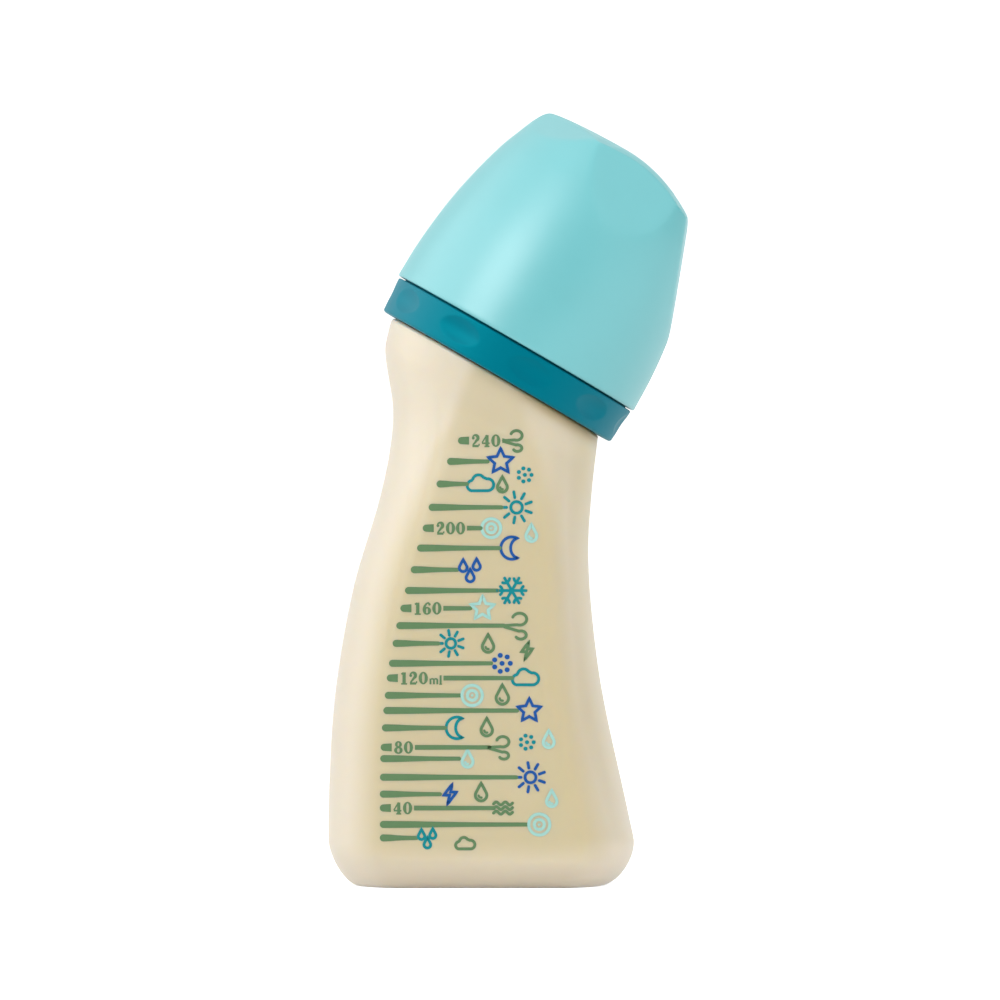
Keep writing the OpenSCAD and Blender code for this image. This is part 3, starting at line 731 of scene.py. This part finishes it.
class BottleAddHood(bpy.types.Operator):
    """Adds the push-on hood with its faceted top and waved crown"""

    bl_idname = "bottle.add_hood"
    bl_label = "Hood"

    # The round side: (share of its height, share of its radius)
    SIDE = [(0, 1), (0.153, 0.994), (0.289, 0.975), (0.431, 0.943), (0.581, 0.891), (0.736, 0.82),
            (0.837, 0.756), (0.901, 0.712), (0.957, 0.664), (1.05, 0.57)]
    # The top is drawn along rays that rise from the axis at this share of the height
    EYE = 0.2
    # Exponent that blends the side, the facets and the crown
    CRISP = 150
    # A ray that runs away from a facet meets it this many times too far out to matter
    FAR = 100

    def side_ray(self, hood, e, inset):
        """Length of rays at elevation e to the round side, inset from its face."""
        low, high = np.zeros_like(e), np.full_like(e, 2 * hood.radius)
        for _ in range(30):
            s = (low + high) / 2
            side_r = hood.radius * along(self.SIDE, self.EYE + s * np.sin(e) / hood.height) - inset
            out = s * np.cos(e) > side_r
            low, high = np.where(out, low, s), np.where(out, s, high)
        return (low + high) / 2

    def facet_ray(self, hood, a, e, inset, k):
        """Length of the same rays to facet k."""
        at = hood.ridge_from + 2 * math.pi * (k + 0.5) / hood.facets
        rise = mix(math.sin(hood.slope_lean), math.sin(hood.slope_back), (1 - math.cos(at)) / 2)
        away = hood.facet_reach - inset + (hood.facet_mid - self.EYE * hood.height) * rise
        towards = math.sqrt(1 - rise * rise) * np.cos(e) * np.cos(a - at) + rise * np.sin(e)
        return away / np.maximum(towards, 1 / self.FAR)

    def crown_ray(self, hood, a, e, inset):
        """Length of the same rays to the crown."""
        fall = (np.where(np.cos(a) > 0, hood.fall_lean, hood.fall_back) * np.cos(a) ** 2
                + hood.fall_front * np.sin(a) ** 2)
        bend = fall * (np.cos(e) / hood.crown_r) ** 2
        under = hood.height * (1 - self.EYE) - inset
        return 2 * under / (np.sqrt(np.sin(e) ** 2 + 4 * bend * under) + np.sin(e))

    def top_ring(self, hood, a, elevation, inset):
        """A ring of the top at an elevation in degrees."""
        e = np.full_like(a, math.radians(elevation))
        crown = self.crown_ray(hood, a, e, inset)
        others = [self.facet_ray(hood, a, e, inset, k) for k in range(hood.facets)]
        others.append(self.side_ray(hood, e, inset))
        rays = np.array([crown, *others])
        near = rays.min(axis=0)
        s = near * ((near / rays) ** self.CRISP).sum(axis=0) ** (-1 / self.CRISP)
        # Behind the front rim of the crown's leaning half runs a shallow hollow
        within = (np.min(others, axis=0) - crown) / MM
        front = ramp(np.cos(a), -0.45, -0.2) * ramp(-np.sin(a), 0, 0.4)
        s -= hood.dish * front * ramp(within, 0, 0.8) * (1 - ramp(within, 0.8, 6.8))
        return neck_ring(s * np.cos(e), hood.foot + self.EYE * hood.height + s * np.sin(e), a)

    def skirt_ring(self, hood, a, t, inset):
        return neck_ring(hood.radius * along(self.SIDE, t) - inset, hood.foot + hood.height * t, a)

    def execute(self, context):
        hood = context.scene.bottle_hood
        a = circle_angles(600)
        edge = 0.35 * MM
        # The foot's rim: how far in from each face and how far up each ring lies, in edges
        rim = [(hood.radius, -0.0, 1), (hood.radius, -0.3, 0.3), (hood.radius, -1, 0)]
        rim += [(hood.radius - hood.wall, out, h) for out, h in ((1, 0), (0.3, 0.3), (0, 1))]
        rows = [
            *[self.top_ring(hood, a, e, 0) for e in np.concatenate([
                np.linspace(88, 68, 22)[:-1], np.linspace(68, 44, 72)[:-1], np.linspace(44, 0, 56)])],
            *[self.skirt_ring(hood, a, t, 0) for t in np.linspace(self.EYE, 0.02, 12)[1:]],
            *[neck_ring(r + out * edge, hood.foot + h * edge, a) for r, out, h in rim],
            *[self.skirt_ring(hood, a, t, hood.wall) for t in np.linspace(0.02, self.EYE, 8)[:-1]],
            *[self.top_ring(hood, a, e, hood.wall) for e in np.linspace(0, 88, 70)],
        ]
        middles = [[on_neck(0, 0, hood.foot + hood.height - inset)] for inset in (0, hood.wall)]
        finish = polypropylene_moulded("polypropylene_satin_aqua", hood.tint, 0.4, 0.1, (1.0, 1.0, 1.0, 1.0))
        make_piece("push_on_hood", "hood_body", skin(rows, middles), 60, finish, "hood")
        return {"FINISHED"}


# ---- The print ----


def pen(points, width, closed=False, step=0.35, blunt=""):
    """A pen stroke on the flat drawing, in millimetres: its left and right edges, and if it closes.

    The width may vary along it. An open stroke has round ends, or blunt ones at its start or end.
    """
    points = np.asarray(points, float)
    points = dense(np.vstack([points, points[:1]]), step)[:-1] if closed else dense(points, step)
    width = np.interp(np.linspace(0, 1, len(points)), np.linspace(0, 1, np.size(width)), np.ravel(width))
    out = np.diff(points, axis=0, append=points[:1] if closed else 2 * points[-1:] - points[-2:-1])
    out /= np.linalg.norm(out, axis=1, keepdims=True)
    heading = out + np.vstack([out[-1:] if closed else out[:1], out[:-1]])
    heading /= np.linalg.norm(heading, axis=1, keepdims=True)
    # At a bend the stroke widens so that its edges stay parallel, but not without end
    cosine = np.clip(np.sum(heading * out, axis=1, keepdims=True), 0.6, 1)
    across = np.stack([-heading[:, 1], heading[:, 0]], axis=1) / cosine
    line = list(zip(points, across, width))
    # Round ends: the line runs on by half its width and narrows as a circle does
    for name, i, way in (("start", 0, -1), ("end", -1, 1)):
        if not closed and name not in blunt:
            run_on = way * heading[i] * width[i] / 2
            cap = [(points[i] + run_on * math.sin(c), across[i], width[i] * math.cos(c))
                   for c in np.radians([20, 40, 60, 80])]
            line = cap[::-1] + line if name == "start" else line + cap
    middle, side = np.array([p for p, _, _ in line]), np.array([n * w / 2 for _, n, w in line])
    return middle + side, middle - side, closed


def drawn(shapes, x, z, size, step):
    """Pen strokes of a drawing one unit large, at a place and a size in millimetres.

    Each shape is its points, its width, whether it closes and which of its ends are blunt.
    """
    return [pen(np.asarray(points) * size + (x, z), np.asarray(width) * size, closed, step, *blunt)
            for points, width, closed, *blunt in shapes]


def printed(strokes, ink_t):
    """Strokes laid on the body's front as thin closed slabs of ink."""
    slabs = []
    for i, (left, right, closed) in enumerate(strokes):
        # Each slab stands a little higher than the last, so that no two faces coincide
        over = ink_t * (1 + 0.05 * (i % 5))
        edges = [front_surface(side[:, 0] * MM, side[:, 1] * MM, h)
                 for side, h in ((left, over), (right, over), (right, -ink_t), (left, -ink_t))]
        slabs.append(skin(np.stack(edges, axis=1), None if closed else "flat"))
    return joined(slabs)


def spot(x, z, size, run=0.01):
    """A round dot: a stroke too short to see, with its round ends."""
    return [(x - run, z), (x + run, z)], size, False


def oval(centre, radii, thin, thick):
    a = circle_angles(28)
    return centre + radii * around(a), mix(thin, thick, np.cos(a) ** 2), True


def curl(centre, radii, start, end, *widths):
    return arc(centre, radii, start, end, 14), widths, False


def straight(start, end, *widths):
    return dense([start, end], 0.25), widths, False, "start end"


# Numerals and letters in a box one high
NUMERALS = {
    "0": [oval((0.34, 0.5), (0.225, 0.42), 0.11, 0.25)],
    "1": [straight((0.31, 0.06), (0.31, 0.93), 0.25), straight((0.08, 0.06), (0.54, 0.06), 0.11),
          straight((0.1, 0.79), (0.26, 0.9), 0.13)],
    "2": [curl((0.31, 0.7), (0.2, 0.22), 170, -35, 0.1, 0.14, 0.25, 0.22),
          straight((0.46, 0.58), (0.12, 0.15), 0.2, 0.11), straight((0.09, 0.09), (0.56, 0.09), 0.17),
          straight((0.58, 0.1), (0.6, 0.26), 0.1), spot(0.15, 0.69, 0.21, 0.0033)],
    "4": [straight((0.42, 0.93), (0.06, 0.34), 0.1), straight((0.05, 0.3), (0.63, 0.3), 0.12),
          straight((0.43, 0.06), (0.43, 0.92), 0.24), straight((0.24, 0.06), (0.62, 0.06), 0.11)],
    "6": [oval((0.35, 0.31), (0.19, 0.24), 0.11, 0.24),
          curl((0.51, 0.42), (0.37, 0.5), 95, 185, 0.11, 0.16, 0.24), spot(0.54, 0.8, 0.19, 0.0033)],
    "8": [oval((0.34, 0.73), (0.16, 0.19), 0.11, 0.2), oval((0.34, 0.28), (0.205, 0.215), 0.11, 0.23)],
    "m": [*[straight((x, 0.04), (x, top), 0.19) for x, top in ((0.1, 0.62), (0.45, 0.45), (0.8, 0.45))],
          *[curl((x, 0.45), (0.17, 0.15), 180, 0, 0.12, 0.19) for x in (0.28, 0.63)]],
    "l": [straight((0.14, 0.04), (0.14, 0.96), 0.2), straight((0.0, 0.05), (0.29, 0.05), 0.12)],
}
# How far the pen moves on after a character
WIDE, WIDTHS = 0.76, {"1": 0.66, "m": 1.0, "l": 0.34}


def numeral_strokes(text, x, z, height):
    """Bold serif numerals that start at x, with their middle at height z, and where they end."""
    strokes = []
    for character in text:
        strokes += drawn(NUMERALS[character], x, z - height / 2, height, height)
        x += WIDTHS.get(character, WIDE) * height
    return strokes, x


# The motifs: each is drawn in a circle of radius 1, with lines w wide on that scale


def spokes(angles, from_r, to_r, w):
    return [(around(a) * [[from_r], [to_r]], w, False) for a in angles]


def teardrop(low, radius, steps):
    return np.vstack([arc((0, low), radius, -205, 25, steps), [(0.0, 0.95)]])


def sun(w):
    return [(arc((0, 0), 0.36, 0, 345, 24), w, True), *spokes(circle_angles(9) + math.pi, 0.62, 0.98, w)]


def moon(w):
    outer, inner = arc((0, 0), 0.86, 62, 298, 26), arc((0.52, 0), (0.62, 0.76), 262, 98, 16)
    return [(np.vstack([outer, inner]), w, True)]


def star(w):
    tips = around(math.pi / 2 - circle_angles(10)) * np.tile([0.95, 0.45], 5)[:, None]
    return [(tips, w, True)]


def drop(w):
    return [(teardrop(-0.33, 0.6, 22), w, True), (arc((0, -0.33), 0.26, 190, 280, 6), 0.8 * w, False)]


def drops(w):
    return [(teardrop(-0.25, 0.55, 18) * k + (x, z), w, True)
            for x, z, k in ((-0.5, 0.28, 0.52), (0.5, 0.36, 0.5), (0.02, -0.46, 0.54))]


def cloud(w):
    puffs = [arc((-0.55, -0.12), 0.36, 260, 100, 10), arc((-0.12, 0.22), 0.42, 165, 35, 10),
             arc((0.52, -0.05), 0.42, 100, -90, 12)]
    return [(np.vstack([*puffs, [(-0.4, -0.47)]]), w, True)]


def dots(w):
    return [spot(x, z, 0.42) for x, z in [(0, 0), *(0.7 * around(circle_angles(7)))]]


def waves(w):
    x = np.linspace(-0.95, 0.95, 40)
    wave = np.stack([x, 0.15 * np.sin(x * 2.2 * math.pi)], axis=1)
    return [(wave + (0, z), w, False) for z in (0.46, 0.0, -0.46)]


def rings(w):
    outer, inner = arc((0, 0), 0.84, 0, 348, 36), arc((0, 0), 0.4, 0, 340, 22)
    return [(outer, w, True), (inner, w, True), spot(0, 0, 0.2)]


def gust(w):
    """A curl of wind that springs from the end of a bar."""
    upper = np.vstack([[(-1, 0.0), (-0.4, 0.04)], arc((0.25, 0.5), (0.55, 0.46), 250, 520, 22)])
    lower = np.vstack([[(-0.9, -0.1), (-0.2, -0.3)], arc((0.35, -0.72), (0.42, 0.32), 110, -150, 16)])
    return [(upper, w, False), (lower, w, False)]


def bolt(w):
    return [([(0.2, 0.95), (-0.6, -0.1), (-0.05, -0.1), (-0.25, -0.95), (0.6, 0.2), (0.05, 0.2)], w, True)]


def flake(w):
    tips = [(arc(0.95 * around(a), 0.34, math.degrees(a) + 130, math.degrees(a) + 230, 7), w, False)
            for a in circle_angles(6)]
    return spokes(circle_angles(6)[:3], -0.92, 0.92, w) + tips


# Where a bar starts, at its height: along the panel's back edge
BAR_START = [(11, -23.1), (30, -23.0), (41, -22.3), (52, -21.0), (65, -18.3), (79, -14.4), (93.5, -10.0),
             (104, -4.8)]
# The bars, from 240 ml down in steps of 10: the height, where the bar ends, and what stands at
# its end: a motif, its ink and its radius, in millimetres
BARS = [
    (103.5, 5.6, gust, "green", 2.4), (98.7, 1.8, star, "blue", 3.2), (93.5, -3.0, cloud, "teal", 3.3),
    (88.1, 5.0, sun, "teal", 3.7), (83.3, 0.2, rings, "aqua", 2.6), (78.7, 4.6, moon, "blue", 3.0),
    (73.7, -5.2, drops, "blue", 3.1), (68.9, 4.0, flake, "teal", 3.6), (64.8, -2.2, star, "aqua", 3.0),
    (60.8, 5.6, gust, "green", 3.0), (56.7, -9.6, sun, "teal", 3.1), (52.1, 2.6, dots, "blue", 2.7),
    (48.7, 7.4, cloud, "teal", 3.3), (44.7, -4.4, rings, "aqua", 2.8), (41.2, 8.6, star, "blue", 3.0),
    (37.2, -8.0, moon, "teal", 2.9), (32.7, 2.2, gust, "green", 2.6), (30.1, -4.8, drop, "aqua", 2.1),
    (25.8, 8.4, sun, "blue", 3.5), (21.9, -9.2, bolt, "blue", 2.5), (18.7, 3.2, waves, "green", 2.3),
    (14.9, 11.0, rings, "aqua", 2.9), (11.8, -14.6, drops, "teal", 2.6),
]
# How the bars narrow from their round start to their end
BAR_TAPER = [1, 0.92, 0.76, 0.66, 0.6, 0.57]
# Motifs that stand by themselves in the spaces: motif, ink, place and radius
LOOSE_MOTIFS = [
    (dots, "teal", 10.4, 95.6, 2.2), (drop, "green", 5.2, 93.4, 1.9), (drop, "aqua", 11.9, 82.2, 2.1),
    (drop, "green", 1.9, 56.7, 2.2), (bolt, "green", 10.9, 55.0, 2.2), (drop, "green", 5.2, 44.9, 2.4),
    (drop, "green", 1.6, 37.4, 2.2), (dots, "teal", 10.9, 33.9, 2.2), (drop, "aqua", 15.9, 34.6, 2.1),
    (drop, "green", 0.3, 22.4, 2.2), (drop, "aqua", 16.6, 20.9, 2.0), (cloud, "green", -3.4, 10.4, 2.4),
]


class BottleAddScale(bpy.types.Operator):
    """Adds the printed millilitre scale: round-ended bars with numerals"""

    bl_idname = "bottle.add_scale"
    bl_label = "Printed scale"

    # In millimetres: a bar's stub before its numerals, and the gaps before them, after them and before "ml"
    STUB, BEFORE, AFTER, BETWEEN = 1.75, 0.5, 0.2, 0.15
    # The size of "ml" beside the numerals, on the same line
    LETTERS = 0.74

    def execute(self, context):
        ink = context.scene.bottle_print
        bar_w, high = ink.bar_w / MM, ink.numeral_h / MM
        strokes = []
        for i, (z, end, *_) in enumerate(BARS):
            amount = 240 - 10 * i
            start = float(along(BAR_START, z)) + bar_w / 2
            if amount % 40:
                strokes.append(pen([(start, z), (end, z)], bar_w * np.array(BAR_TAPER), step=0.8))
                continue
            # Each fourth bar is broken by its numerals
            stub = start + self.STUB
            strokes.append(pen([(start, z), (stub, z)], (bar_w, 1.12 * bar_w), blunt="end"))
            numerals, x = numeral_strokes(str(amount), stub + self.BEFORE, z, high)
            strokes += numerals
            if amount == 120:
                base = z - (1 - self.LETTERS) / 2 * high
                letters, x = numeral_strokes("ml", x + self.BETWEEN, base, self.LETTERS * high)
                strokes += letters
            strokes.append(pen([(x + self.AFTER, z), (end, z)], (0.68 * bar_w, 0.57 * bar_w), step=0.8,
                               blunt="start"))
        make_piece("printed_scale", "bottle_body", printed(strokes, ink.ink_t), 30,
                   screen_ink("screen_ink_green", ink.green))
        return {"FINISHED"}


class BottleAddMotifs(bpy.types.Operator):
    """Adds the small printed weather motifs beside the scale, one piece for each ink"""

    bl_idname = "bottle.add_motifs"
    bl_label = "Printed motifs"

    def execute(self, context):
        ink = context.scene.bottle_print
        # A motif at a bar's end overlaps it a little
        at_bars = [(motif, name, end + 0.94 * radius, z, radius) for z, end, motif, name, radius in BARS]
        inks = {}
        for motif, name, x, z, radius in at_bars + LOOSE_MOTIFS:
            inks.setdefault(name, []).extend(drawn(motif(ink.line_w / MM / radius), x, z, radius, 0.5))
        for name, strokes in inks.items():
            make_piece(f"printed_motifs_{name}", "bottle_body", printed(strokes, ink.ink_t),
                       30, screen_ink(f"screen_ink_motif_{name}", getattr(ink, name)))
        return {"FINISHED"}


# ---- The stage ----


def ray_is(tree, *kinds):
    """1 for light rays of the given kinds, and 0 for all others."""
    path = add_node(tree, "ShaderNodeLightPath")
    found = path.outputs[f"Is {kinds[0]} Ray"]
    for kind in kinds[1:]:
        found = add_node(tree, "ShaderNodeMath", {"operation": "MAXIMUM"},
                         links={0: found, 1: path.outputs[f"Is {kind} Ray"]}).outputs[0]
    return found


class BottleAddStage(bpy.types.Operator):
    """Adds the pale floor and backdrop, the soft lamps and the camera"""

    bl_idname = "bottle.add_stage"
    bl_label = "Stage"

    def execute(self, context):
        stage, scene = context.scene.bottle_stage, context.scene
        self.add_floor(stage.floor_size / 2)
        self.add_lamp("key_lamp", (-0.95, -1.35, 1.0), 1.0, stage.key_power)
        self.add_lamp("side_lamp", (-1.8, 0.15, 0.8), 2.0, stage.side_power)
        # The fill lamp lifts the shaded side but leaves no shine on it
        self.add_lamp("fill_lamp", (1.7, -1.0, 0.7), 2.0, stage.fill_power).visible_glossy = False
        self.light_world(scene, stage.sky)
        camera = put("camera", bpy.data.cameras.new("camera"))
        camera.location = (stage.eye_x, -stage.distance, stage.eye_z)
        camera.rotation_euler = (math.radians(90), 0, 0)
        camera.data.sensor_width = 36
        camera.data.lens = 36 * stage.distance / stage.field
        camera.data.clip_end = 50
        scene.camera = camera
        scene.view_settings.view_transform = "Standard"
        return {"FINISHED"}

    def add_lamp(self, name, place, size, power):
        """A square lamp turned to the bottle's middle."""
        lamp = put(name, bpy.data.lights.new(name, "AREA"))
        lamp.data.size, lamp.data.energy = size, power
        aim = Vector((0, 0, bpy.context.scene.bottle_stage.eye_z))
        lamp.location = place
        lamp.rotation_euler = (Vector(place) - aim).to_track_quat("Z", "Y").to_euler()
        return lamp

    def add_floor(self, half):
        """A floor that sweeps up into a backdrop far behind."""
        bend, height, in_front = 0.8, 3.0, 1.0
        sweep = arc((half - bend, bend), bend, -90, 0, 24)
        profile = [(-half - in_front, 0.0), *sweep, (half, height)]
        points = [(x, y, z) for y, z in profile for x in (-half, half)]
        faces = [(2 * i, 2 * i + 1, 2 * i + 3, 2 * i + 2) for i in range(len(profile) - 1)]
        material = new_material(
            "painted_white_sweep", lambda tree: clouded(tree, linear("#D2D2D2"), 0.01, 300 * MM),
            Roughness=0.9, Emission_Color=(1, 1, 1, 1))
        # Seen directly or in a reflection, the sweep is white, and only the bottle's shadow darkens it
        tree = material.node_tree
        glow = add_node(tree, "ShaderNodeMath", {"operation": "MULTIPLY"}, {1: 0.8},
                        {0: ray_is(tree, "Camera", "Glossy", "Transmission")})
        tree.links.new(glow.outputs[0], tree.nodes["Principled BSDF"].inputs["Emission Strength"])
        add_mesh("floor", (points, faces), material)

    def light_world(self, scene, sky):
        """Pale light from all sides. Seen directly it is white, and in a reflection it brightens upwards."""
        brightest = (-0.35, 0.25, 0.9)
        world = scene.world = bpy.data.worlds.new("pale_studio")
        world.use_nodes = True
        tree = world.node_tree
        place = add_node(tree, "ShaderNodeTexCoord")
        towards = add_node(tree, "ShaderNodeVectorMath", {"operation": "DOT_PRODUCT"}, {1: brightest},
                           {0: place.outputs["Generated"]})
        mirrored = add_node(tree, "ShaderNodeMapRange", {"interpolation_type": "SMOOTHSTEP"},
                            {"From Min": -0.2, "From Max": 0.9, "To Min": 0.15, "To Max": 1.6},
                            {"Value": towards.outputs["Value"]})
        unseen = add_node(tree, "ShaderNodeMix", values={2: sky},
                          links={0: ray_is(tree, "Glossy", "Transmission"), 3: mirrored.outputs["Result"]})
        strength = add_node(tree, "ShaderNodeMix", values={3: 1.0},
                            links={0: ray_is(tree, "Camera"), 2: unseen.outputs[0]})
        background = tree.nodes["Background"]
        background.inputs["Color"].default_value = (1, 1, 1, 1)
        tree.links.new(strength.outputs[0], background.inputs["Strength"])


# ---- Add-on ----

OPERATORS = (BottleAddBody, BottleAddScale, BottleAddMotifs, BottleAddRing, BottleAddTeat, BottleAddHood,
             BottleAddStage)
SETTINGS = {
    "bottle_body": BottleBodySettings, "bottle_neck": BottleNeckSettings, "bottle_ring": BottleRingSettings,
    "bottle_teat": BottleTeatSettings, "bottle_hood": BottleHoodSettings, "bottle_print": BottlePrintSettings,
    "bottle_stage": BottleStageSettings,
}


class VIEW3D_PT_bottle(bpy.types.Panel):
    """Lists the bottle's pieces and its stage"""

    bl_label = "Baby Bottle"
    bl_idname = "VIEW3D_PT_bottle"
    bl_space_type = "VIEW_3D"
    bl_region_type = "UI"
    bl_category = "Bottle"

    def draw(self, context):
        for operator in OPERATORS:
            self.layout.operator(operator.bl_idname)
        for name, group in SETTINGS.items():
            box = self.layout.box()
            box.label(text=name.replace("_", " ").capitalize())
            for prop in group.__annotations__:
                box.prop(getattr(context.scene, name), prop)


def register():
    for group in (*SETTINGS.values(), *OPERATORS, VIEW3D_PT_bottle):
        bpy.utils.register_class(group)
    for name, group in SETTINGS.items():
        setattr(bpy.types.Scene, name, PointerProperty(type=group))


def unregister():
    for name in SETTINGS:
        delattr(bpy.types.Scene, name)
    for group in (VIEW3D_PT_bottle, *reversed(OPERATORS), *reversed(SETTINGS.values())):
        bpy.utils.unregister_class(group)


def main():
    register()
    for operator in OPERATORS:
        group, name = operator.bl_idname.split(".")
        getattr(getattr(bpy.ops, group), name)()


if __name__ == "__main__":
    main()
